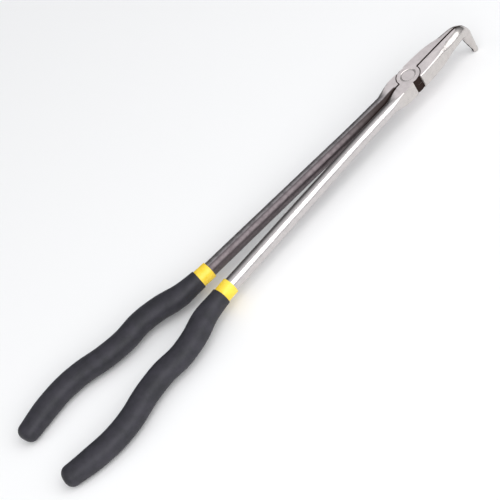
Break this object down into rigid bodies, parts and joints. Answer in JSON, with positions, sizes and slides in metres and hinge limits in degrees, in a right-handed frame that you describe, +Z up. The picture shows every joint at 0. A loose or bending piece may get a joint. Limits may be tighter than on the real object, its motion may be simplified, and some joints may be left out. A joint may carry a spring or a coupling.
{
  "type": "long reach bent nose pliers",
  "caption": "Long reach pliers with a short nose bent down to a slim beak, crossed shanks on a flush rivet, wavy dipped grips with bright bands.",
  "frame": {"origin": "centre of the bounding box in X and Y, on the surface that the pliers lie on", "axes": "+X along the pliers towards the nose, +Y to the user's left, +Z up; the beak points down"},
  "size_m": [0.4066, 0.0834, 0.0294],
  "materials": {
    "right_steel": "plated and polished forged steel",
    "left_steel": "plated forged steel, mottled on the shank",
    "rivet_steel": "peened and ground flush",
    "grip_vinyl": "soft dipped vinyl, charcoal",
    "band_vinyl": "dipped vinyl, bright yellow"
  },
  "bodies": {
    "left_arm": {"left_handle_half": "left_steel", "left_undercoat": "band_vinyl", "left_grip": "grip_vinyl", "pivot_rivet": "rivet_steel"},
    "right_arm": {"right_handle_half": "right_steel", "right_undercoat": "band_vinyl", "right_grip": "grip_vinyl"}
  },
  "joints": [
    {"name": "jaw_pivot", "type": "hinge", "parent": "left_arm", "child": "right_arm", "pos_m": [0.14677, 0, 0.02226], "axis": [-0.0438, 0, 0.999], "range_deg": [0, 41]}
  ]
}
